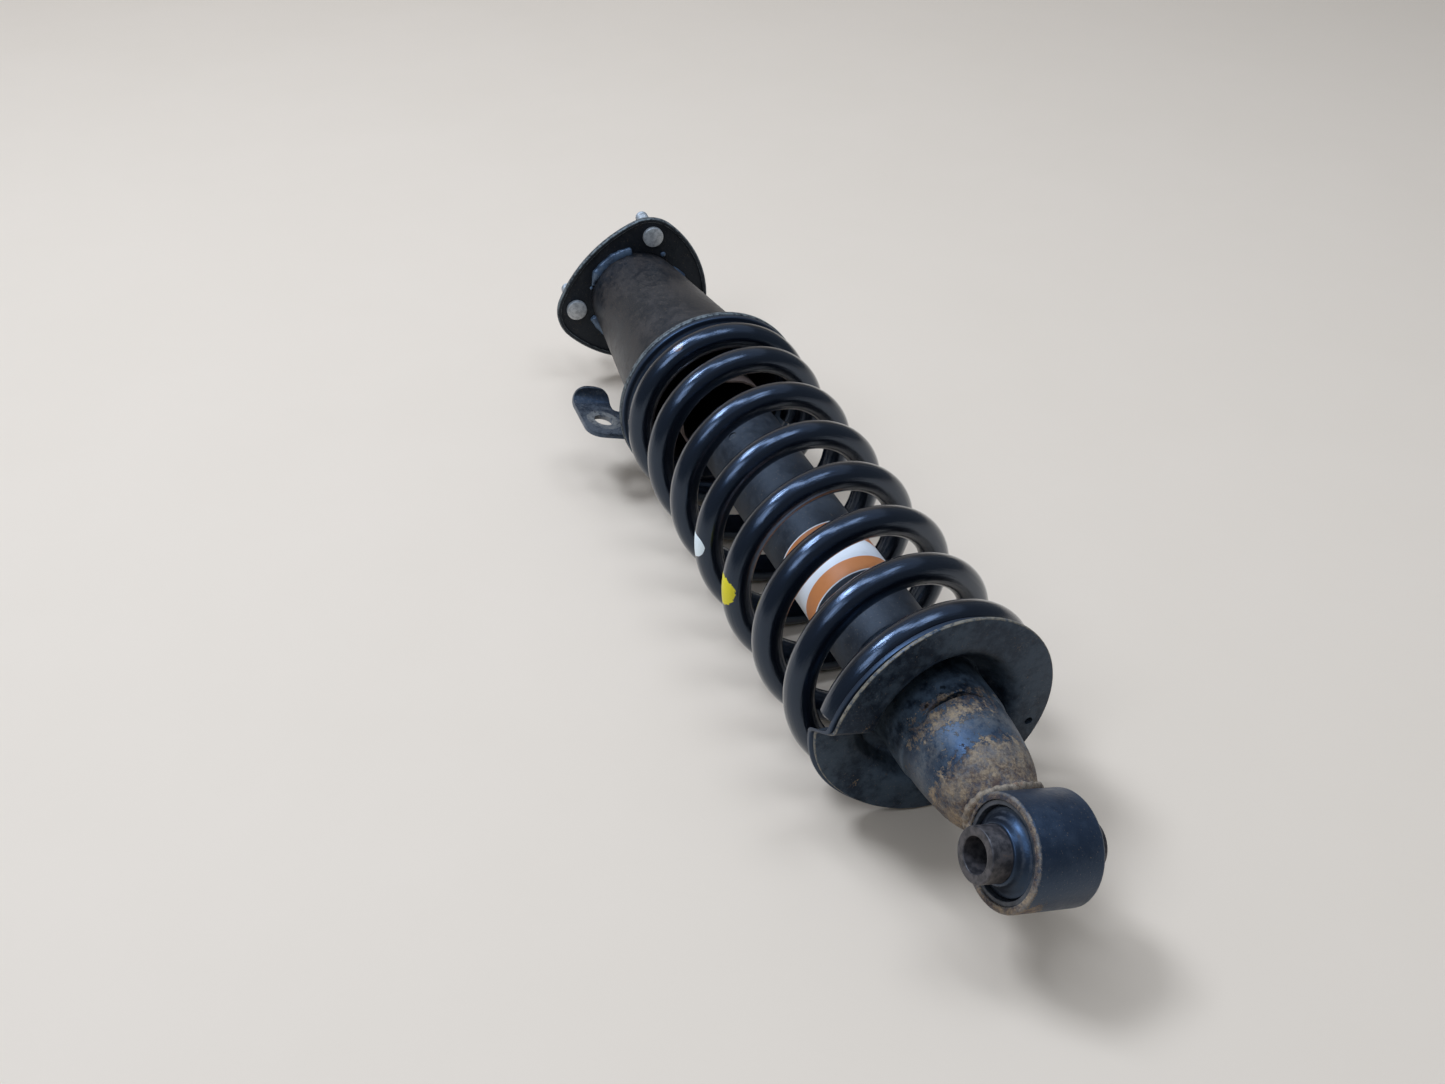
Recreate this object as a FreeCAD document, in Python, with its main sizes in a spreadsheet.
"""A coil-over suspension strut lying on its side, as separate pieces at their real size.

Every piece is drawn in the strut's own frame: z runs along the strut from the lower eye's centre
towards the top mount, and x runs along the lower eye. One placement then lays the strut down
along +X, rolled by lie_roll about its own axis, with +Z up.
"""
import FreeCAD
import Part
import Sketcher
import math
import os

Vector = FreeCAD.Vector
doc = FreeCAD.newDocument("strut_assembly")

# Driving dimensions, in millimetres and degrees
SIZES = (
    ("lie_roll", 17.6, "roll of the lying strut about its own axis"),
    ("floor_gap", 0.8, "from the lower seat's rim down to the surface the strut lies on"),
    ("turn_gap", 0.05, "radial gap where one piece turns or slides in another"),
    ("rest_gap", 0.3, "gap between round faces of pieces that move apart"),
    ("bed_gap", 0.05, "gap between the rubber pads and the sheet they lie on"),
    ("eye_r", 22.9, "lower eye, outer radius"),
    ("eye_wall", 3.0, "lower eye, wall"),
    ("eye_width", 31.2, "lower eye, width"),
    ("bush_wall", 2.0, "bush, wall of its outer sleeve"),
    ("bush_inset", 0.8, "bush, how far its outer sleeve ends inside the eye"),
    ("sleeve_r", 11.0, "bush, outer radius of its inner sleeve"),
    ("sleeve_bore", 7.1, "bush, bore radius of its inner sleeve"),
    ("sleeve_length", 55.0, "bush, length of its inner sleeve"),
    ("rubber_neck", 36.0, "bush rubber, width at the inner sleeve"),
    ("rubber_rim", 22.0, "bush rubber, width at the outer sleeve"),
    ("rubber_groove", 17.0, "bush rubber, width in its groove"),
    ("weld_r", 16.6, "weld round the eye, radius"),
    ("weld_top", 24.0, "weld round the eye, height of its upper edge"),
    ("cup_foot_r", 15.5, "base cup, radius beside the eye"),
    ("cup_foot_top", 21.0, "base cup, height where it starts to widen"),
    ("cup_shoulder_r", 21.0, "base cup, radius at its shoulder"),
    ("cup_shoulder", 33.0, "base cup, height of its shoulder"),
    ("cup_belly_r", 23.4, "base cup, radius of its belly"),
    ("cup_belly", 49.0, "base cup, height of its belly"),
    ("cup_wall", 1.7, "base cup, wall round the tube's foot"),
    ("cup_floor", 36.0, "base cup, height of its inner floor"),
    ("cup_bore", 19.0, "base cup, radius of its well"),
    ("tube_r", 22.5, "damper tube, outer radius"),
    ("tube_wall", 2.0, "damper tube, wall"),
    ("tube_foot", 52.0, "damper tube, height of its foot"),
    ("tube_top", 305.0, "damper tube, height of its rolled top"),
    ("roll_r", 17.0, "damper tube, opening radius of its rolled top"),
    ("bore_r", 15.0, "inner cylinder, bore radius"),
    ("bore_wall", 1.5, "inner cylinder, wall"),
    ("valve_thick", 6.0, "base valve, thickness of its plate"),
    ("valve_port", 3.0, "base valve, radius of its port"),
    ("spigot", 6.0, "depth of the spigots in the inner cylinder"),
    ("guide_thick", 12.0, "rod guide, thickness of its flange"),
    ("bush_thick", 1.5, "guide bush, radial thickness"),
    ("seal_thick", 4.2, "oil seal, thickness"),
    ("cap_thick", 1.8, "gland cap, thickness"),
    ("rod_r", 6.25, "piston rod, radius"),
    ("thread_r", 5.0, "piston rod, radius of its threaded top"),
    ("tenon_r", 4.5, "piston rod, radius of its tenon through the piston"),
    ("shoulder_drop", 25.2, "piston rod, depth of its upper shoulder below the flange"),
    ("thread_length", 40.0, "piston rod, length of its threaded top"),
    ("piston_thick", 14.0, "piston, thickness"),
    ("ring_wall", 1.4, "piston ring, radial thickness"),
    ("ring_width", 8.0, "piston ring, width"),
    ("shim_r", 11.0, "valve shims, radius"),
    ("shim_thick", 2.0, "valve shims, height of the stack"),
    ("piston_nut_r", 7.5, "piston nut, radius over its corners"),
    ("piston_nut_thick", 7.0, "piston nut, thickness"),
    ("stop_gap", 0.5, "gap from the rebound stop to the rod guide at full droop"),
    ("rebound_r", 10.0, "rebound stop, radius"),
    ("rebound_length", 10.0, "rebound stop, length"),
    ("wire_d", 14.0, "coil spring, wire diameter"),
    ("coil_inset", 6.0, "coil spring, how far its mean radius is inside the lower seat's rim"),
    ("coil_waist", 1.3, "coil spring, how much smaller its free turns are than the one on the seat"),
    ("spring_shift_x", 1.3, "coil spring, offset of its lower end along the eye"),
    ("spring_shift_y", -1.9, "coil spring, offset of its lower end across the eye"),
    ("spring_base", 80.3, "coil spring, height of its wire where it first passes front_angle"),
    ("front_angle", 20.9, "coil spring, angle about the axis where its turns are counted from"),
    ("first_turn", 0.95, "coil spring, turn count at its lower end"),
    ("spring_turns", 7.5, "coil spring, number of turns"),
    ("end_pitch", 30.0, "coil spring, rise per turn at its lower end"),
    ("free_pitch", 37.0, "coil spring, rise per turn of its free coils"),
    ("seat_r", 54.0, "lower seat, rim radius"),
    ("seat_thick", 1.8, "lower seat, sheet thickness"),
    ("seat_low", 69.0, "lower seat, level just after its step"),
    ("seat_mid", 73.8, "lower seat, level of its long even part"),
    ("seat_high", 82.3, "lower seat, level just before its step"),
    ("mouth_inset", 18.5, "lower seat, how far inside its rim the dish turns up to the hub"),
    ("mouth_rise", 8.0, "lower seat, how far its mouth rises to the neck"),
    ("hub_wall", 2.4, "lower seat, wall of its hub"),
    ("hub_low", 63.0, "lower seat, lower edge of its hub"),
    ("hub_top", 113.0, "lower seat, upper edge of its hub"),
    ("neck_height", 25.0, "lower seat, height of its neck below the hub's upper edge"),
    ("pad_width", 12.6, "lower insulator, width"),
    ("pad_thick", 0.8, "lower insulator, thickness under the wire"),
    ("pad_lip", 2.6, "lower insulator, height of its lip"),
    ("pad_edge", 0.9, "lower insulator, thickness of its outer lip"),
    ("pad_heel", 1.0, "lower insulator, thickness of its inner lip"),
    ("drain_r", 2.0, "lower seat, radius of its drain hole"),
    ("drain_inset", 6.2, "lower seat, how far its drain hole is inside the rim"),
    ("drain_angle", 182.4, "lower seat, angle of its drain hole about the axis"),
    ("upper_seat_inset", 0.6, "upper seat, how far its rim is inside the lower seat's"),
    ("upper_seat_thick", 2.6, "upper seat, sheet thickness"),
    ("upper_seat_back", 347.4, "upper seat, height of its back"),
    ("upper_rim", 3.6, "upper seat, height of its turned rim"),
    ("upper_pad_inset", 0.4, "upper insulator, how far its lip is inside the seat's rim"),
    ("upper_pad_lip", 3.0, "upper insulator, thickness of its lip"),
    ("upper_pad_slope", 3.0, "upper insulator, width of the slope between its bed and its lip"),
    ("can_mouth_inset", 11.6, "can, how far its outer radius at the upper seat is inside the lower seat's rim"),
    ("can_root_r", 28.6, "can, outer radius at the flange"),
    ("can_wall", 2.5, "can, wall"),
    ("flange_height", 477.2, "flange, height of its underside on the axis"),
    ("flange_tilt", 5.6, "flange, tilt towards the far end of the eye"),
    ("flange_thick", 2.6, "flange, plate thickness"),
    ("flange_lobe", 51.6, "flange, distance from the axis to each lobe's tip"),
    ("flange_under", 43.7, "flange, distance from the axis to the middle of its lower side"),
    ("flange_near", 41.7, "flange, distance from the axis to the middle of its near side"),
    ("flange_far", 45.2, "flange, distance from the axis to the middle of its far side"),
    ("lobe_r", 22.0, "flange, radius of each lobe"),
    ("lip_depth", 1.6, "flange, how far its lip stands below the plate"),
    ("lip_wall", 2.4, "flange, lip thickness"),
    ("flange_round", 1.8, "flange, radius of its turned edge"),
    ("access_r", 19.0, "flange, radius of the hole over the rod's nut"),
    ("stud_circle", 38.2, "studs, radius of their circle"),
    ("stud_angle", 92.6, "studs, angle of the first one about the axis"),
    ("stud_shift_x", 1.6, "studs, offset of their circle's centre along the eye"),
    ("stud_shift_y", 1.8, "studs, offset of their circle's centre across the eye"),
    ("stud_r", 4.0, "studs, shank radius"),
    ("stud_collar_r", 4.4, "studs, radius of the serrated collar that is pressed into the flange"),
    ("stud_head_r", 6.3, "studs, head radius"),
    ("stud_head", 2.8, "studs, head thickness"),
    ("stud_length", 31.0, "studs, shank length from the underside of the head"),
    ("bead_width", 2.2, "weld beads at the can's root, width"),
    ("bead_height", 1.9, "weld beads at the can's root, height"),
    ("bead_start", -4.0, "weld beads, angle where the first one starts"),
    ("bead_span", 78.0, "weld beads, angle that each one spans"),
    ("bracket_offset", 31.0, "hose bracket, distance of its plate from the axis"),
    ("bracket_thick", 2.6, "hose bracket, plate thickness"),
    ("bracket_out", 50.4, "hose bracket, distance of its hole along the eye's direction"),
    ("bracket_rise", 18.2, "hose bracket, height of its hole above the upper seat"),
    ("bracket_end", 13.6, "hose bracket, from its hole to its outer edge"),
    ("bracket_low", 16.0, "hose bracket, from its hole down to its lower edge"),
    ("bracket_neck", 11.6, "hose bracket, from its hole up to the top of its neck"),
    ("bracket_bend", 20.4, "hose bracket, from its hole up to the bend of its flap"),
    ("bracket_corner", 10.0, "hose bracket, size of its rounded corners"),
    ("bracket_hole_r", 5.5, "hose bracket, hole radius"),
    ("bracket_curl_r", 4.0, "hose bracket, inner radius of its bent flap"),
    ("bracket_curl", 84.0, "hose bracket, angle of its bent flap"),
    ("shell_r", 24.6, "mount shell, outer radius"),
    ("shell_wall", 1.8, "mount shell, wall"),
    ("shell_drop", 21.6, "mount shell, depth of its base below the flange"),
    ("shell_mouth", 15.0, "mount shell, radius of the hole in its base"),
    ("mount_rubber_thick", 16.0, "mount rubber, thickness"),
    ("core_r", 9.0, "mount sleeve, outer radius"),
    ("core_length", 20.0, "mount sleeve, length"),
    ("lower_washer_thick", 3.2, "lower mount washer, thickness"),
    ("lower_washer_r", 14.0, "lower mount washer, radius"),
    ("upper_washer_thick", 3.0, "upper mount washer, thickness"),
    ("upper_washer_r", 16.0, "upper mount washer, radius"),
    ("nut_flats", 17.0, "rod nut, size across its flats"),
    ("nut_thick", 9.0, "rod nut, thickness"),
    ("stop_length", 55.5, "bump stop, length"),
    ("stop_r", 17.5, "bump stop, radius"),
    ("stop_waist", 13.5, "bump stop, radius in its grooves"),
    ("dust_r", 24.4, "dust cup, outer radius"),
    ("dust_wall", 1.0, "dust cup, wall"),
    ("dust_low", 334.0, "dust cup, height of its open end"),
)


class Size:
    """A length that knows its value and the sheet expression that makes it."""

    def __init__(self, value, text):
        self.value = value
        self.text = text

    def joined(self, other, sign, swapped=False):
        """Combines two sizes, or a size and a plain number."""
        other = as_size(other)
        left, right = (other, self) if swapped else (self, other)
        results = {"+": left.value + right.value, "-": left.value - right.value, "*": left.value * right.value}
        return Size(results[sign], "(%s %s %s)" % (left.text, sign, right.text))

    def __add__(self, other):
        return self.joined(other, "+")

    def __sub__(self, other):
        return self.joined(other, "-")

    def __mul__(self, other):
        return self.joined(other, "*")

    def __rsub__(self, other):
        return self.joined(other, "-", True)


def as_size(number):
    """A size as it is, and a plain number as a size."""
    return number if isinstance(number, Size) else Size(float(number), repr(float(number)))


sheet = doc.addObject("Spreadsheet::Sheet", "sizes")
for row, (word, number, meaning) in enumerate(SIZES, start=1):
    sheet.set("A%d" % row, meaning)
    sheet.set("B%d" % row, "%g" % number)
    sheet.setAlias("B%d" % row, word)
doc.recompute()
dim = {word: Size(float(sheet.get(word)), "sizes." + word) for word, number, meaning in SIZES}
# Levels and radii that follow from the sizes
dim["floor_drop"] = dim["seat_r"] + dim["floor_gap"]
dim["coil_r"] = dim["seat_r"] - dim["coil_inset"]
dim["can_mouth_r"] = dim["seat_r"] - dim["can_mouth_inset"]
dim["upper_seat_r"] = dim["seat_r"] - dim["upper_seat_inset"]
dim["upper_pad_r"] = dim["upper_seat_r"] - dim["upper_pad_inset"]
dim["seat_mouth"] = dim["seat_r"] - dim["mouth_inset"]
dim["pad_inner_r"] = dim["seat_r"] - dim["pad_width"]
dim["drain_circle"] = dim["seat_r"] - dim["drain_inset"]
dim["shoulder_top"] = dim["flange_height"] - dim["shoulder_drop"]
dim["shell_base"] = dim["flange_height"] - dim["shell_drop"]
dim["stop_low"] = dim["shoulder_top"] - dim["dust_wall"] - dim["stop_length"]
dim["bracket_height"] = dim["upper_seat_back"] + dim["bracket_rise"]
SPRING_SHIFT = Vector(dim["spring_shift_x"].value, dim["spring_shift_y"].value, 0)
FULL_TURN = 360.0
THIRD = FULL_TURN / 3
THREE_TIMES = (0, 1, 2)
SPARE = 20.0


def degrees_cos(angle):
    return math.cos(math.radians(angle))


def degrees_sin(angle):
    return math.sin(math.radians(angle))


def polar(radius, angle, height=0.0):
    """A point at a radius and an angle in degrees about the strut's axis."""
    return Vector(radius * degrees_cos(angle), radius * degrees_sin(angle), height)


def lying_placement():
    """Lays the strut down along +X and rolls it about its own axis."""
    roll = dim["lie_roll"].value
    along_eye = Vector(0, degrees_cos(roll), degrees_sin(roll))
    across_eye = Vector(0, -degrees_sin(roll), degrees_cos(roll))
    turn = FreeCAD.Rotation(along_eye, across_eye, Vector(1, 0, 0), "ZXY")
    return FreeCAD.Placement(Vector(0, 0, 0), turn)


LYING = lying_placement()
ALONG_EYE = FreeCAD.Placement(Vector(0, 0, 0), FreeCAD.Rotation(Vector(0, 1, 0), 90))
FLANGE = FreeCAD.Placement(Vector(0, 0, dim["flange_height"].value),
                           FreeCAD.Rotation(Vector(0, 1, 0), -dim["flange_tilt"].value))
nodes = []


def finish_node(piece, label, placement=None):
    """Names a finished piece and lays it down with the strut."""
    piece.Label = label
    piece.Placement = LYING if placement is None else LYING.multiply(placement)
    nodes.append(piece)


def bind(piece, **sizes):
    """Binds properties of a piece to sizes of the sheet."""
    for name, size in sizes.items():
        piece.setExpression(name, as_size(size).text)


def cylinder(name, radius, height, base=0.0):
    """A solid cylinder on the z axis that starts at the height called base."""
    piece = doc.addObject("Part::Cylinder", name)
    bind(piece, Radius=radius, Height=height)
    piece.setExpression("Placement.Base.z", as_size(base).text)
    return piece


def cut(name, solid, tool):
    """One piece less another."""
    piece = doc.addObject("Part::Cut", name)
    piece.Base = solid
    piece.Tool = tool
    return piece


def fused(name, pieces):
    """One solid, or a group of separate solids, from several pieces."""
    piece = doc.addObject("Part::MultiFuse", name)
    piece.Shapes = pieces
    return piece


def feature(name, shape):
    """A piece whose shape comes from Part's own functions."""
    piece = doc.addObject("Part::Feature", name)
    piece.Shape = shape
    return piece


def tube(name, outer, inner, low, top):
    """A straight tube between two heights."""
    solid = cylinder(name + "_outside", outer, top - low, low)
    return cut(name, solid, cylinder(name + "_bore", inner, top - low, low))


def sketched(body, name, role, corners, curves=None):
    """A closed sketch on an origin plane of a body, with every corner bound to the sheet.

    corners are pairs of sizes. curves gives, for the edge that leaves a corner, the middle of its arc.
    """
    sketch = body.newObject("Sketcher::SketchObject", name)
    plane = [part for part in body.Origin.OriginFeatures if part.Role == role][0]
    sketch.AttachmentSupport = [(plane, "")]
    sketch.MapMode = "FlatFace"
    corners = [(as_size(across), as_size(along)) for across, along in corners]
    points = [Vector(across.value, along.value, 0) for across, along in corners]
    count = len(points)
    ends = {}
    for index, start in enumerate(points):
        stop = points[(index + 1) % count]
        middle = (curves or {}).get(index)
        if middle is None:
            sketch.addGeometry(Part.LineSegment(start, stop), False)
            ends[index] = (1, 2)
        else:
            arc = Part.Arc(start, Vector(middle[0], middle[1], 0), stop)
            sketch.addGeometry(arc, False)
            first = sketch.Geometry[index].StartPoint
            ends[index] = (1, 2) if first.distanceToPoint(start) < first.distanceToPoint(stop) else (2, 1)
    for index in range(count):
        following = (index + 1) % count
        sketch.addConstraint(Sketcher.Constraint("Coincident", index, ends[index][1], following, ends[following][0]))
        for kind, size in (("DistanceX", corners[index][0]), ("DistanceY", corners[index][1])):
            rule = sketch.addConstraint(Sketcher.Constraint(kind, -1, 1, index, ends[index][0], size.value))
            if "sizes." in size.text:
                sketch.setExpression("Constraints[%d]" % rule, size.text)
    for index in (curves or {}):
        radius = sketch.Geometry[index].Radius
        sketch.addConstraint(Sketcher.Constraint("Radius", index, radius))
    return sketch


def turned(name, profile):
    """A body turned about the z axis from a closed profile of (radius, height) corners."""
    body = doc.addObject("PartDesign::Body", name)
    sketch = sketched(body, name + "_profile", "XZ_Plane", profile)
    turn = body.newObject("PartDesign::Revolution", name + "_turn")
    turn.Profile = sketch
    turn.ReferenceAxis = (sketch, ["V_Axis"])
    turn.Angle = FULL_TURN
    body.Tip = turn
    return body


def padded(name, role, corners, curves, length, midplane=False):
    """A body padded from a closed outline."""
    body = doc.addObject("PartDesign::Body", name)
    pad = body.newObject("PartDesign::Pad", name + "_pad")
    sketch = sketched(body, name + "_outline", role, corners, curves)
    pad.Profile = sketch
    pad.Midplane = midplane
    bind(pad, Length=length)
    body.Tip = pad
    return body


def make_lower_eye():
    """The ring, the bush pressed into it, and the weld that holds it to the base cup."""
    half = dim["eye_width"] * 0.5
    inner = dim["eye_r"] - dim["eye_wall"]
    ring = tube("eye_ring", dim["eye_r"], inner, 0.0 - half, half)
    finish_node(ring, "lower_eye", ALONG_EYE)
    shell_half = half - dim["bush_inset"]
    shell_inner = inner - dim["bush_wall"]
    shell = tube("bush_shell", inner, shell_inner, 0.0 - shell_half, shell_half)
    finish_node(shell, "bush_outer_sleeve", ALONG_EYE)

    sleeve_half = dim["sleeve_length"] * 0.5
    sleeve = tube("bolt_sleeve", dim["sleeve_r"], dim["sleeve_bore"], 0.0 - sleeve_half, sleeve_half)
    finish_node(sleeve, "inner_sleeve", ALONG_EYE)

    bore = dim["sleeve_r"] + dim["turn_gap"]
    room = shell_inner - bore
    groove_out, groove_in, neck = shell_inner - room * 0.25, bore + room * 0.45, bore + room * 0.2
    half_side = ((bore, dim["rubber_neck"] * 0.5), (neck, dim["rubber_neck"] * 0.5 - 1.5),
                 (groove_in, dim["rubber_groove"] * 0.5 + 1.0), (groove_out, dim["rubber_groove"] * 0.5),
                 (shell_inner, dim["rubber_rim"] * 0.5))
    other_side = [(radius, 0.0 - along) for radius, along in reversed(half_side)]
    finish_node(turned("rubber_bush", list(half_side) + other_side), "bush_rubber", ALONG_EYE)


def eye_hollow(name):
    """The room that the eye takes, longer than the eye, to cut what is welded to it."""
    room = cylinder(name, dim["eye_r"], dim["eye_width"] + 2 * SPARE, 0.0 - dim["eye_width"] * 0.5 - SPARE)
    holder = fused(name + "_across", [room, cylinder(name + "_core", dim["eye_wall"], dim["eye_width"])])
    holder.Placement = ALONG_EYE
    return holder


def make_base_cup():
    """The swollen foot of the tube, saddled on the eye, and its weld."""
    cup_r = dim["tube_r"] + dim["cup_wall"]
    cup_top = dim["hub_low"] - dim["bed_gap"]
    foot = dim["eye_r"] * 0.5
    outside = ((0, foot), (dim["cup_foot_r"], foot), (dim["cup_foot_r"], dim["cup_foot_top"]),
               (dim["cup_shoulder_r"], dim["cup_shoulder"]), (dim["cup_belly_r"], dim["cup_belly"]),
               (cup_r, cup_top), (dim["tube_r"], cup_top), (dim["tube_r"], dim["tube_foot"]),
               (dim["cup_bore"], dim["tube_foot"]), (dim["cup_bore"], dim["cup_floor"]), (0, dim["cup_floor"]))
    saddled = cut("saddled_cup", turned("cup_blank", outside), eye_hollow("eye_in_cup"))
    finish_node(saddled, "base_cup")

    collar = cylinder("weld_blank", dim["weld_r"], dim["weld_top"] - foot, foot)
    solid_cup = turned("cup_solid", outside[:6] + ((0, cup_top),))
    bead = cut("weld_less_cup", collar, solid_cup)
    finish_node(cut("eye_bead", bead, eye_hollow("eye_in_weld")), "eye_weld")


def make_damper():
    """The outer tube, and what stays still inside it."""
    outer, inner = dim["tube_r"], dim["tube_r"] - dim["tube_wall"]
    low, top, wall = dim["tube_foot"], dim["tube_top"], dim["tube_wall"]
    profile = ((inner, low), (outer, low), (outer, top - wall), (inner, top), (dim["roll_r"], top),
               (dim["roll_r"], top - wall), (inner, top - wall))
    finish_node(turned("outer_tube", profile), "damper_tube")

    cap_low = top - wall - dim["cap_thick"]
    seal_low = cap_low - dim["seal_thick"]
    guide_low = seal_low - dim["guide_thick"]
    bush_r = dim["rod_r"] + dim["turn_gap"] + dim["bush_thick"]
    running = dim["rod_r"] + dim["turn_gap"]
    guide_tip = guide_low - dim["spigot"]
    finish_node(tube("steel_cap", inner, running + 1.0, cap_low, top - wall), "gland_cap")
    finish_node(tube("lip_seal", inner, running, seal_low, cap_low), "oil_seal")
    guide = ((bush_r, guide_tip), (dim["bore_r"], guide_tip), (dim["bore_r"], guide_low), (inner, guide_low),
             (inner, seal_low), (bush_r, seal_low))
    finish_node(turned("guide_block", guide), "rod_guide")
    finish_node(tube("slide_bush", bush_r, running, guide_tip, seal_low), "guide_bush")

    valve_top = dim["cup_floor"] + dim["valve_thick"]
    plate = ((dim["valve_port"], dim["cup_floor"]), (dim["cup_bore"], dim["cup_floor"]), (dim["cup_bore"], valve_top),
             (dim["bore_r"], valve_top), (dim["bore_r"], valve_top + dim["spigot"]),
             (dim["valve_port"], valve_top + dim["spigot"]))
    finish_node(turned("valve_block", plate), "base_valve")
    finish_node(tube("pressure_tube", dim["bore_r"] + dim["bore_wall"], dim["bore_r"], valve_top, guide_low),
                "inner_cylinder")
    return guide_tip


def make_rod(guide_tip):
    """The rod, the piston on its lower end, and the stop that meets the rod guide."""
    stop_top = guide_tip - dim["stop_gap"]
    stop_low = stop_top - dim["rebound_length"]
    piston_top = stop_low - dim["shim_thick"]
    piston_low = piston_top - dim["piston_thick"]
    nut_low = piston_low - dim["piston_nut_thick"]
    thread_top = dim["shoulder_top"] + dim["thread_length"]
    rod = ((0, nut_low), (dim["tenon_r"], nut_low), (dim["tenon_r"], stop_low), (dim["rod_r"], stop_low),
           (dim["rod_r"], dim["shoulder_top"]), (dim["thread_r"], dim["shoulder_top"]),
           (dim["thread_r"], thread_top - 1.0), (dim["thread_r"] - 1.0, thread_top), (0, thread_top))
    finish_node(turned("rod_bar", rod), "piston_rod")
    finish_node(tube("droop_stop", dim["rebound_r"], dim["rod_r"], stop_low, stop_top), "rebound_stop")
    finish_node(tube("shim_stack", dim["shim_r"], dim["tenon_r"], piston_top, stop_low), "valve_shims")

    face = dim["bore_r"] - dim["turn_gap"]
    land = (dim["piston_thick"] - dim["ring_width"]) * 0.5
    groove_low, groove_top = piston_low + land, piston_top - land
    piston = ((dim["tenon_r"], piston_low), (face - 0.3, piston_low), (face - 0.3, groove_low),
              (face - dim["ring_wall"], groove_low), (face - dim["ring_wall"], groove_top),
              (face - 0.3, groove_top), (face - 0.3, piston_top), (dim["tenon_r"], piston_top))
    finish_node(turned("piston_body", piston), "piston")
    finish_node(tube("band", face, face - dim["ring_wall"], groove_low, groove_top), "piston_ring")
    nut = hexagon("tenon_nut_blank", dim["piston_nut_r"], dim["piston_nut_thick"], nut_low)
    bore = cylinder("tenon_nut_bore", dim["tenon_r"], dim["piston_nut_thick"], nut_low)
    finish_node(cut("tenon_nut", nut, bore), "piston_nut")


def hexagon(name, corner_r, height, base):
    """A six-sided prism on the z axis."""
    piece = doc.addObject("Part::Prism", name)
    piece.Polygon = 6
    bind(piece, Circumradius=corner_r, Height=height)
    piece.setExpression("Placement.Base.z", as_size(base).text)
    return piece


def eased(share):
    """A smooth step from 0 to 1."""
    share = min(max(share, 0.0), 1.0)
    return 0.5 - 0.5 * math.cos(math.pi * share)


# Angles about the axis where the lower seat's level changes, counted from the end of its step
RAMP_UP_END = 100.0
RAMP_START = 236.0
RAMP_END = 318.0
STEP_START = 336.0


def seat_level(angle):
    """Level of the dish at an angle: a rise, an even part, a ramp, and a step of a wire's thickness."""
    low, middle, high = dim["seat_low"].value, dim["seat_mid"].value, dim["seat_high"].value
    angle = angle % FULL_TURN
    if angle < RAMP_START:
        return low + (middle - low) * eased(angle / RAMP_UP_END)
    if angle < STEP_START:
        return middle + (high - middle) * eased((angle - RAMP_START) / (RAMP_END - RAMP_START))
    return high - (high - low) * eased((angle - STEP_START) / (FULL_TURN - STEP_START))


def seat_angles():
    """Angles of the sections through the dish, closer together in its step."""
    even = [index * 12.0 for index in range(28)]
    return even + [STEP_START + index * (FULL_TURN - STEP_START) / 8 for index in range(8)]


def ring_loft(section):
    """A closed ring lofted through one section at every seat angle."""
    wires = []
    for angle in seat_angles():
        corners = [polar(radius, angle, height) for radius, height in section(seat_level(angle))]
        wires.append(Part.makePolygon(corners + corners[:1]))
    return Part.makeLoft(wires + wires[:1], True, False, False)


def dish_section(level):
    """Section of the lower seat: hub, neck, the turn of its mouth and the flat dish."""
    outer = (dim["tube_r"] + dim["hub_wall"]).value
    inner = outer - 1.5 * dim["hub_wall"].value
    low, top = dim["hub_low"].value, dim["hub_top"].value
    neck = top - dim["neck_height"].value
    mouth, rim, sheet_t = dim["seat_mouth"].value, dim["seat_r"].value, dim["seat_thick"].value
    rise, face = dim["mouth_rise"].value, level + sheet_t
    return ((inner, low), (outer, low), (outer, neck), (mouth - rise * 0.56, level + rise),
            (mouth - rise * 0.31, level + rise * 0.44), (mouth, level + rise * 0.1), (mouth + rise * 0.38, level),
            (rim, level), (rim, face), (mouth + rise * 0.41, face), (mouth + rise * 0.11, face + rise * 0.08),
            (mouth - rise * 0.11, face + rise * 0.35), (mouth - rise * 0.34, face + rise * 0.9),
            (outer, neck + 2 * sheet_t), (outer, top), (inner, top))


def pad_section(level):
    """Section of the lower insulator: a bed for the wire between two low lips."""
    base = level + dim["seat_thick"].value + dim["bed_gap"].value
    bed = base + dim["pad_thick"].value
    rim = dim["seat_r"].value - 2 * dim["bed_gap"].value
    middle, inner, lip = dim["coil_r"].value, dim["pad_inner_r"].value, dim["pad_lip"].value
    edge, heel = dim["pad_edge"].value, dim["pad_heel"].value
    half_wire = dim["wire_d"].value / 2
    return ((inner, base), (rim, base), (rim, base + lip), (rim - edge, base + lip),
            (middle + half_wire * 0.57, bed + 0.5), (middle, bed), (middle - half_wire * 0.57, bed + 0.5),
            (inner + heel, bed + 1.6), (inner, bed + 1.6))


def make_lower_seat():
    """The dish that carries the spring, and the rubber between them."""
    dish = ring_loft(dish_section)
    drain = Part.makeCylinder(dim["drain_r"].value, SPARE)
    drain.translate(polar(dim["drain_circle"].value, dim["drain_angle"].value, dim["seat_mid"].value - SPARE / 2))
    tube_room = Part.makeCylinder(dim["tube_r"].value, dim["hub_top"].value + SPARE)
    finish_node(feature("dish", dish.cut(drain).cut(tube_room)), "lower_spring_seat")
    pad = ring_loft(pad_section)
    pad.translate(SPRING_SHIFT)
    finish_node(feature("lower_pad", pad), "lower_insulator")


# Turn counts where the spring's pitch changes: its end pitch holds, then blends to the free pitch,
# and at the top it blends to nothing. Its radius shrinks to the free turns' between two more, and
# between the last two its offset from the strut's axis fades
LOWER_BLEND = (1.35, 1.75)
UPPER_BLEND = (7.55, 8.25)
WAIST_BLEND = (1.1, 2.6)
SHIFT_BLEND = (4.0, 8.3)


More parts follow.
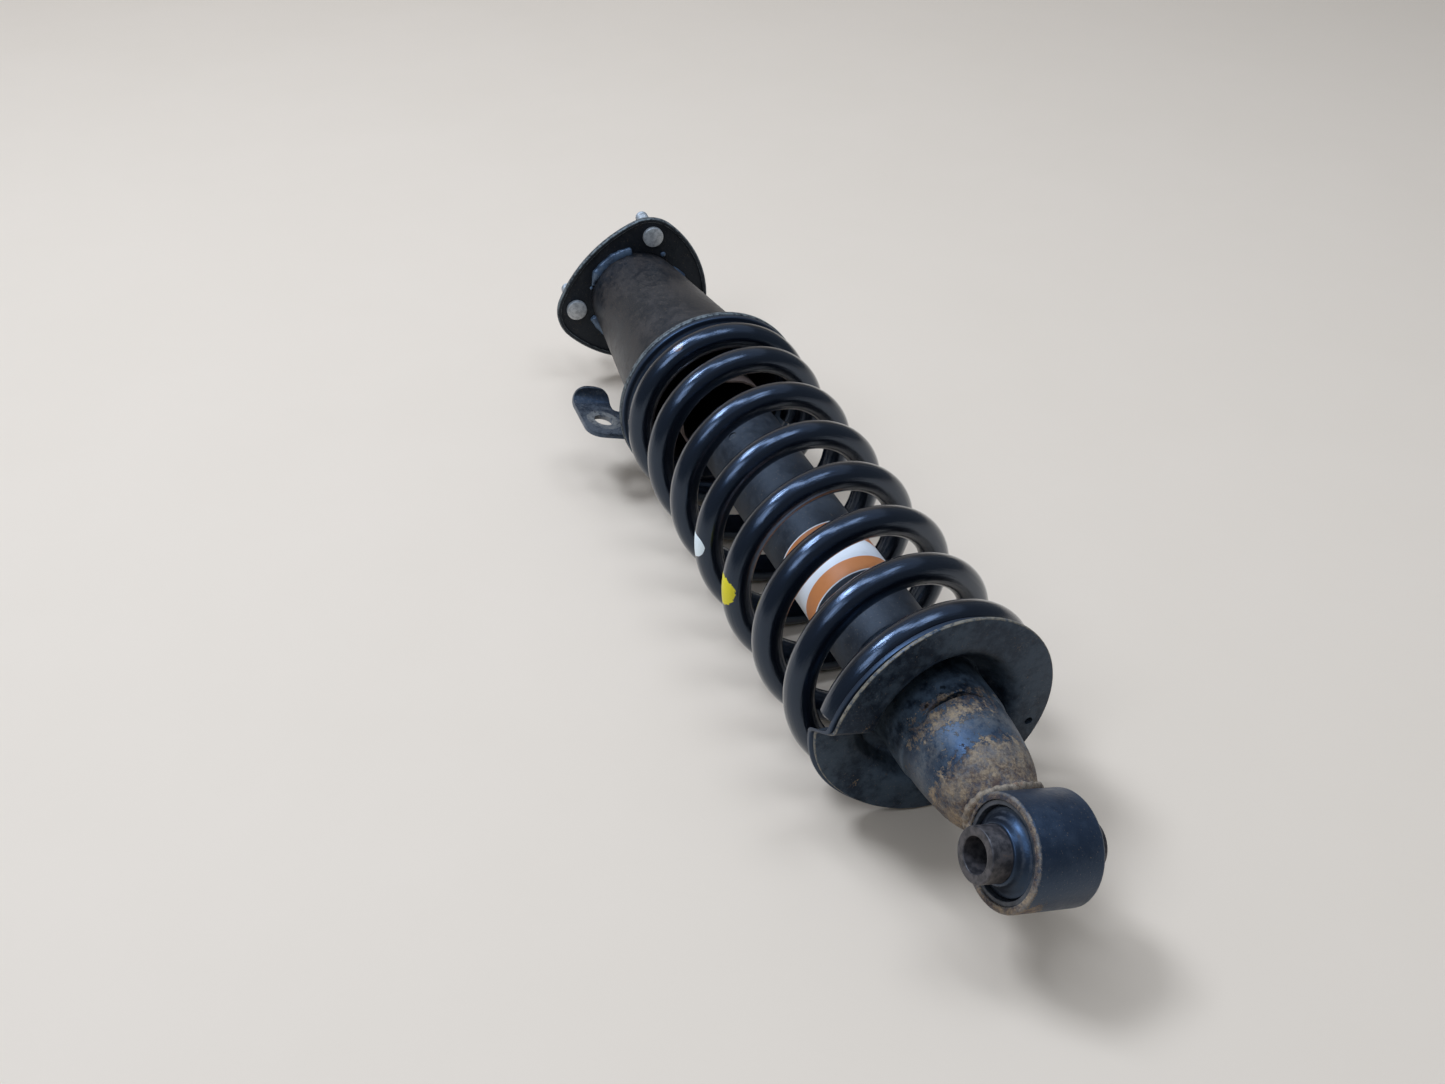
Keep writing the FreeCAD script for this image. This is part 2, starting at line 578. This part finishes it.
def pitch_at(turn):
    """Rise per turn of the wire at a turn count."""
    first, free = dim["end_pitch"].value, dim["free_pitch"].value
    share = (turn - LOWER_BLEND[0]) / (LOWER_BLEND[1] - LOWER_BLEND[0])
    rising = first + (free - first) * min(max(share, 0.0), 1.0)
    share = (turn - UPPER_BLEND[0]) / (UPPER_BLEND[1] - UPPER_BLEND[0])
    return rising * (1.0 - min(max(share, 0.0), 1.0))


def wire_height(turn):
    """Height of the wire's centre at a turn count, by adding up the pitch in small steps."""
    steps = max(1, int(abs(turn - 1.0) * 200))
    step = (turn - 1.0) / steps
    return dim["spring_base"].value + sum(pitch_at(1.0 + step * (i + 0.5)) * step for i in range(steps))


def wire_plan(turn):
    """The wire's centre at a turn count, seen along the strut."""
    narrower = dim["coil_waist"].value * eased((turn - WAIST_BLEND[0]) / (WAIST_BLEND[1] - WAIST_BLEND[0]))
    kept = 1.0 - eased((turn - SHIFT_BLEND[0]) / (SHIFT_BLEND[1] - SHIFT_BLEND[0]))
    angle = dim["front_angle"].value + FULL_TURN * (turn - 1.0)
    return SPRING_SHIFT * kept + polar(dim["coil_r"].value - narrower, angle)


def wire_point(turn):
    """Centre of the wire at a turn count."""
    return wire_plan(turn) + Vector(0, 0, wire_height(turn))


def wire_direction(turn):
    """Unit tangent of the wire at a turn count."""
    near = 0.005
    along = (wire_plan(turn + near) - wire_plan(turn - near)) * (0.5 / near)
    return (along + Vector(0, 0, pitch_at(turn))).normalize()


def arc_leaving(start, direction, stop):
    """The arc from start, leaving along direction, to stop."""
    chord = stop - start
    unit = Vector(chord).normalize()
    sideways = direction - unit * direction.dot(unit)
    rise = chord.Length / 2 * math.tan(direction.getAngle(unit) / 2)
    middle = start + chord * 0.5 + sideways.normalize() * rise
    return Part.Arc(start, middle, stop)


def biarc(start, first, stop, last):
    """Two arcs, tangent to each other and to the directions at both ends."""
    chord = stop - start
    total = first + last
    spread = 2 * (1 - first.dot(last))
    reach = (math.sqrt(chord.dot(total) ** 2 + spread * chord.dot(chord)) - chord.dot(total)) / spread
    joint = (start + stop + (first - last) * reach) * 0.5
    back = arc_leaving(stop, last * -1.0, joint)
    return [arc_leaving(start, first, joint), Part.Arc(joint, back.value(back.FirstParameter * 0.5
            + back.LastParameter * 0.5), stop)]


def least_gap(turns):
    """Least gap between the wire's turns, on points a twentieth of a turn apart."""
    points = [wire_point(turn) for turn in turns]
    apart = 12
    return min((points[i] - points[j]).Length for i in range(len(points))
               for j in range(i + apart, len(points))) - dim["wire_d"].value


def make_spring():
    """The coil spring: one round wire, cut flat where the strut lies on it."""
    first, count = dim["first_turn"].value, dim["spring_turns"].value
    quarters = max(4, int(round(4 * count)))
    turns = [first + count * index / quarters for index in range(quarters + 1)]
    edges = []
    for low, high in zip(turns, turns[1:]):
        arcs = biarc(wire_point(low), wire_direction(low), wire_point(high), wire_direction(high))
        edges += [arc.toShape() for arc in arcs]
    start = wire_point(turns[0])
    section = Part.Wire(Part.makeCircle(dim["wire_d"].value / 2, start, wire_direction(turns[0])))
    pipe = Part.BRepOffsetAPI.MakePipeShell(Part.Wire(edges))
    pipe.add(section)
    pipe.build()
    pipe.makeSolid()
    wire = pipe.shape()
    close = [first + index / 20 for index in range(int(count * 20) + 1)]
    print("spring: least gap between turns %.2f mm, volume %.0f mm3" % (least_gap(close), wire.Volume))
    top = wire_height(turns[-1]) + dim["wire_d"].value / 2
    finish_node(feature("spring_wire", wire.cut(floor_block(top + SPARE))), "coil_spring")
    return top


def floor_block(height):
    """The room below the surface that the strut lies on, in the strut's own frame."""
    wide = 2 * dim["seat_r"].value + SPARE
    block = Part.makeBox(wide, SPARE, height, Vector(-wide / 2, -dim["floor_drop"].value - SPARE, 0))
    block.rotate(Vector(0, 0, 0), Vector(0, 0, 1), -dim["lie_roll"].value)
    return block


def make_upper_seat(spring_top):
    """The upper seat and the rubber between it and the spring's last turn."""
    back, sheet_t = dim["upper_seat_back"], dim["upper_seat_thick"]
    inner = dim["can_mouth_r"] - dim["can_wall"]
    face = back - sheet_t
    rim_in = dim["upper_seat_r"] - sheet_t
    rim_low = back - dim["upper_rim"]
    seat = ((inner, face), (rim_in, face), (rim_in, rim_low), (dim["upper_seat_r"], rim_low),
            (dim["upper_seat_r"], back), (inner, back))
    finish_node(turned("upper_dish", seat), "upper_spring_seat")
    pad_low = as_size(spring_top) + dim["rest_gap"]
    lip_top = rim_low - dim["bed_gap"]
    lip_low = lip_top - dim["upper_pad_lip"]
    pad_face = face - dim["bed_gap"]
    pad_in = rim_in - dim["bed_gap"]
    pad = ((inner, pad_low), (dim["coil_r"], pad_low), (dim["upper_pad_r"] - dim["upper_pad_slope"], lip_low),
           (dim["upper_pad_r"], lip_low), (dim["upper_pad_r"], lip_top), (pad_in, lip_top), (pad_in, pad_face),
           (inner, pad_face))
    finish_node(turned("upper_pad", pad), "upper_insulator")


def flange_block(name):
    """The room above the flange's underside."""
    block = cylinder(name + "_room", dim["flange_lobe"] * 2, dim["flange_lobe"])
    holder = fused(name, [block, cylinder(name + "_core", dim["stud_r"], dim["flange_lobe"])])
    holder.Placement = FLANGE
    return holder


def make_can():
    """The tapered can from the upper seat to the flange, and its stitch welds."""
    base = dim["upper_seat_back"]
    reach = dim["flange_height"] - base
    slope = (dim["can_mouth_r"].value - dim["can_root_r"].value) / reach.value
    top = dim["flange_height"] + SPARE
    top_r = dim["can_root_r"] - slope * SPARE
    wall = dim["can_wall"]
    profile = ((dim["can_mouth_r"] - wall, base), (dim["can_mouth_r"], base), (top_r, top), (top_r - wall, top))
    shell = turned("can_shell", profile)
    finish_node(cut("can_body", shell, flange_block("above_flange")), "mount_can")

    core = doc.addObject("Part::Cone", "can_for_beads")
    bind(core, Radius1=dim["can_mouth_r"], Radius2=top_r, Height=top - base)
    core.Placement = FLANGE.inverse().multiply(FreeCAD.Placement(Vector(0, 0, base.value), FreeCAD.Rotation()))
    beads = []
    for index in THREE_TIMES:
        start = dim["bead_start"] + THIRD * index
        outer = cylinder("bead_%d" % index, dim["can_root_r"] + dim["bead_width"], dim["bead_height"],
                         0.0 - dim["bead_height"])
        bind(outer, Angle=dim["bead_span"])
        outer.Placement.Rotation = FreeCAD.Rotation(Vector(0, 0, 1), start.value)
        outer.setExpression("Placement.Base.z", (0.0 - dim["bead_height"]).text)
        beads.append(outer)
    finish_node(cut("stitches", fused("bead_group", beads), core), "can_weld_beads", FLANGE)


def lobed_outline(inset):
    """Corners and arc middles of the flange's outline: three lobes joined by three wide arcs."""
    lobe_r = dim["lobe_r"].value
    lobe_out = dim["flange_lobe"].value - lobe_r
    sides = [dim[word].value for word in ("flange_under", "flange_near", "flange_far")]
    corners, middles = [], {}
    for index in THREE_TIMES:
        lobe_angle = -30.0 + THIRD * index
        lobe = polar(lobe_out, lobe_angle)
        for sign, side in ((-1, sides[index]), (1, sides[(index + 1) % 3])):
            side_out = (lobe_out ** 2 - (side - lobe_r) ** 2) / (2 * (side - lobe_r) - lobe_out)
            centre = polar(-side_out, lobe_angle + sign * THIRD / 2)
            outward = (lobe - centre).normalize()
            corners.append(centre + outward * (side + side_out - inset))
        middles[2 * index] = polar(dim["flange_lobe"].value - inset, lobe_angle)
        middles[2 * index + 1] = polar(sides[(index + 1) % 3] - inset, lobe_angle + THIRD / 2)
    pairs = [(point.x, point.y) for point in corners]
    return pairs, {index: (point.x, point.y) for index, point in middles.items()}


def make_flange():
    """The lobed flange with its turned lip, and the three studs pressed through it."""
    corners, middles = lobed_outline(0.0)
    plate = padded("flange_plate", "XY_Plane", corners, middles, dim["flange_thick"] + dim["lip_depth"])
    plate.setExpression("Placement.Base.z", (0.0 - dim["lip_depth"]).text)
    corners, middles = lobed_outline(dim["lip_wall"].value)
    hollow = padded("flange_hollow", "XY_Plane", corners, middles, dim["lip_depth"])
    hollow.setExpression("Placement.Base.z", (0.0 - dim["lip_depth"]).text)
    doc.recompute()
    upper_edges = [edge for edge in plate.Shape.Edges if edge.BoundBox.ZMin > dim["flange_thick"].value - 0.01]
    rounded = feature("rounded_plate", plate.Shape.makeFillet(dim["flange_round"].value, upper_edges))
    dished = cut("dished_plate", rounded, hollow)
    holes = [cylinder("access_hole", dim["access_r"], dim["flange_thick"])]
    studs = []
    for index in THREE_TIMES:
        spot = polar(dim["stud_circle"].value, dim["stud_angle"].value + THIRD * index)
        spot = spot + Vector(dim["stud_shift_x"].value, dim["stud_shift_y"].value, 0)
        hole = cylinder("stud_hole_%d" % index, dim["stud_collar_r"], dim["flange_thick"])
        hole.Placement.Base = spot
        holes.append(hole)
        head = cylinder("stud_head_%d" % index, dim["stud_head_r"], dim["stud_head"], 0.0 - dim["stud_head"])
        collar = cylinder("stud_collar_%d" % index, dim["stud_collar_r"], dim["flange_thick"])
        shank = cylinder("stud_shank_%d" % index, dim["stud_r"], dim["stud_length"] - dim["flange_thick"],
                         dim["flange_thick"])
        for piece in (head, collar, shank):
            piece.Placement.Base = spot
        head.setExpression("Placement.Base.z", (0.0 - dim["stud_head"]).text)
        shank.setExpression("Placement.Base.z", dim["flange_thick"].text)
        studs += [head, collar, shank]
    finish_node(cut("flange_body", dished, fused("flange_holes", holes)), "top_flange", FLANGE)
    finish_node(fused("stud_group", studs), "flange_studs", FLANGE)


def make_bracket():
    """The hose bracket: a tab parallel to the axis and to the eye, with a hole and a bent flap."""
    out, height, end = dim["bracket_out"].value, dim["bracket_height"].value, dim["bracket_end"].value
    corner, neck = dim["bracket_corner"].value, height + dim["bracket_neck"].value
    low, bend = height - dim["bracket_low"].value, height + dim["bracket_bend"].value
    curl_r, sheet_t, angle = dim["bracket_curl_r"].value, dim["bracket_thick"].value, dim["bracket_curl"].value
    face = -dim["bracket_offset"].value
    root = dim["can_mouth_r"].value / 2
    middle = Vector(0, face + sheet_t / 2 + curl_r, bend)
    outer_r, inner_r = curl_r + sheet_t, curl_r

    def on_curl(radius, turn):
        return middle + Vector(0, -radius * degrees_cos(turn), radius * degrees_sin(turn))

    back_low = Vector(0, face - sheet_t / 2, low)
    front_low = Vector(0, face + sheet_t / 2, low)
    edges = [Part.LineSegment(back_low, on_curl(outer_r, 0)),
             Part.Arc(on_curl(outer_r, 0), on_curl(outer_r, angle / 2), on_curl(outer_r, angle)),
             Part.LineSegment(on_curl(outer_r, angle), on_curl(inner_r, angle)),
             Part.Arc(on_curl(inner_r, angle), on_curl(inner_r, angle / 2), on_curl(inner_r, 0)),
             Part.LineSegment(on_curl(inner_r, 0), front_low), Part.LineSegment(front_low, back_low)]
    strip = Part.Face(Part.Wire([edge.toShape() for edge in edges])).extrude(Vector(out + end, 0, 0))

    tip, inside, flap = out + end, out - corner, bend + outer_r
    points = [(root, low), (tip - corner, low), (tip, low + corner), (tip - 0.2 * corner, flap - corner),
              (tip - corner, flap), (inside + 0.85 * corner, flap), (inside, flap - 0.85 * corner), (inside, neck),
              (root, neck)]
    round_middles = {1: (tip - 0.29 * corner, low + 0.29 * corner), 3: (tip - 0.45 * corner, flap - 0.35 * corner),
                     5: (inside + 0.25 * corner, flap - 0.25 * corner)}
    outline = []
    for index, (across, along) in enumerate(points):
        start, stop = Vector(across, 0, along), points[(index + 1) % len(points)]
        stop = Vector(stop[0], 0, stop[1])
        if index in round_middles:
            outline.append(Part.Arc(start, Vector(round_middles[index][0], 0, round_middles[index][1]), stop))
        else:
            outline.append(Part.LineSegment(start, stop))
    blank = Part.Face(Part.Wire([edge.toShape() for edge in outline]))
    blank = blank.extrude(Vector(0, -2 * dim["bracket_offset"].value, 0))
    hole = Part.makeCylinder(dim["bracket_hole_r"].value, SPARE, Vector(out, face - SPARE / 2, height), Vector(0, 1, 0))
    base, reach = dim["upper_seat_back"].value, (dim["flange_height"] - dim["upper_seat_back"]).value
    can = Part.makeCone(dim["can_mouth_r"].value, dim["can_root_r"].value, reach, Vector(0, 0, base))
    finish_node(feature("tab", strip.common(blank).cut(hole).cut(can)), "hose_bracket")


def make_top_mount():
    """The rubber mount in the can's root, clamped on the rod by its nut."""
    base, wall = dim["shell_base"], dim["shell_wall"]
    room = dim["shell_r"] - wall
    top = dim["flange_height"] + SPARE
    profile = ((dim["shell_mouth"], base), (dim["shell_r"], base), (dim["shell_r"], top), (room, top),
               (room, base + wall), (dim["shell_mouth"], base + wall))
    finish_node(cut("shell_body", turned("shell_blank", profile), flange_block("above_shell")), "mount_shell")
    core_low = dim["shoulder_top"] + dim["lower_washer_thick"]
    core_top = core_low + dim["core_length"]
    rubber_low = base + wall
    finish_node(tube("rubber_ring", room, dim["core_r"], rubber_low, rubber_low + dim["mount_rubber_thick"]),
                "mount_rubber")
    finish_node(tube("core_tube", dim["core_r"], dim["thread_r"], core_low, core_top), "mount_sleeve")
    finish_node(tube("low_washer", dim["lower_washer_r"], dim["thread_r"], dim["shoulder_top"], core_low),
                "lower_mount_washer")
    washer_top = core_top + dim["upper_washer_thick"]
    finish_node(tube("top_washer", dim["upper_washer_r"], dim["thread_r"], core_top, washer_top),
                "upper_mount_washer")
    corner_r = dim["nut_flats"] * (0.5 / degrees_cos(30.0))
    nut = hexagon("top_nut_blank", corner_r, dim["nut_thick"], washer_top)
    bore = cylinder("top_nut_bore", dim["thread_r"], dim["nut_thick"], washer_top)
    finish_node(cut("top_nut", nut, bore), "rod_nut")


def make_stop_and_cup():
    """The foam bump stop and the dust cup, both held under the rod's upper shoulder."""
    top = dim["shoulder_top"] - dim["dust_wall"]
    low = dim["stop_low"]
    length = top - low
    bore = dim["rod_r"]
    full, waist = dim["stop_r"], dim["stop_waist"]
    bands = ((0.0, waist), (0.1, full), (0.27, full), (0.36, waist), (0.45, full), (0.62, full), (0.71, waist),
             (0.8, full), (1.0, full))
    profile = [(radius, low + length * share) for share, radius in bands]
    finish_node(turned("foam", [(bore, low)] + profile + [(bore, top)]), "bump_stop")
    inner = dim["dust_r"] - dim["dust_wall"]
    cup = ((inner, dim["dust_low"]), (dim["dust_r"], dim["dust_low"]), (dim["dust_r"], dim["shoulder_top"]),
           (bore, dim["shoulder_top"]), (bore, top), (inner, top))
    finish_node(turned("cup", cup), "dust_cup")


def check_and_write():
    """Stops if any object failed, then writes one file for each piece."""
    doc.recompute()
    for item in doc.Objects:
        if "Invalid" in item.State or "Error" in item.State:
            raise RuntimeError("%s (%s) failed: %s" % (item.Name, item.Label, item.State))
    for piece in nodes:
        if piece.Shape.isNull() or not piece.Shape.isValid() or piece.Shape.Volume <= 0:
            raise RuntimeError("%s has no valid shape" % piece.Label)
    os.makedirs("parts", exist_ok=True)
    for piece in nodes:
        piece.Shape.exportStep("parts/%s.step" % piece.Label)
        print("%-20s %d solid(s), %.0f mm3" % (piece.Label, len(piece.Shape.Solids), piece.Shape.Volume))


make_lower_eye()
make_base_cup()
make_rod(make_damper())
make_lower_seat()
make_upper_seat(make_spring())
make_can()
make_flange()
make_bracket()
make_top_mount()
make_stop_and_cup()
check_and_write()
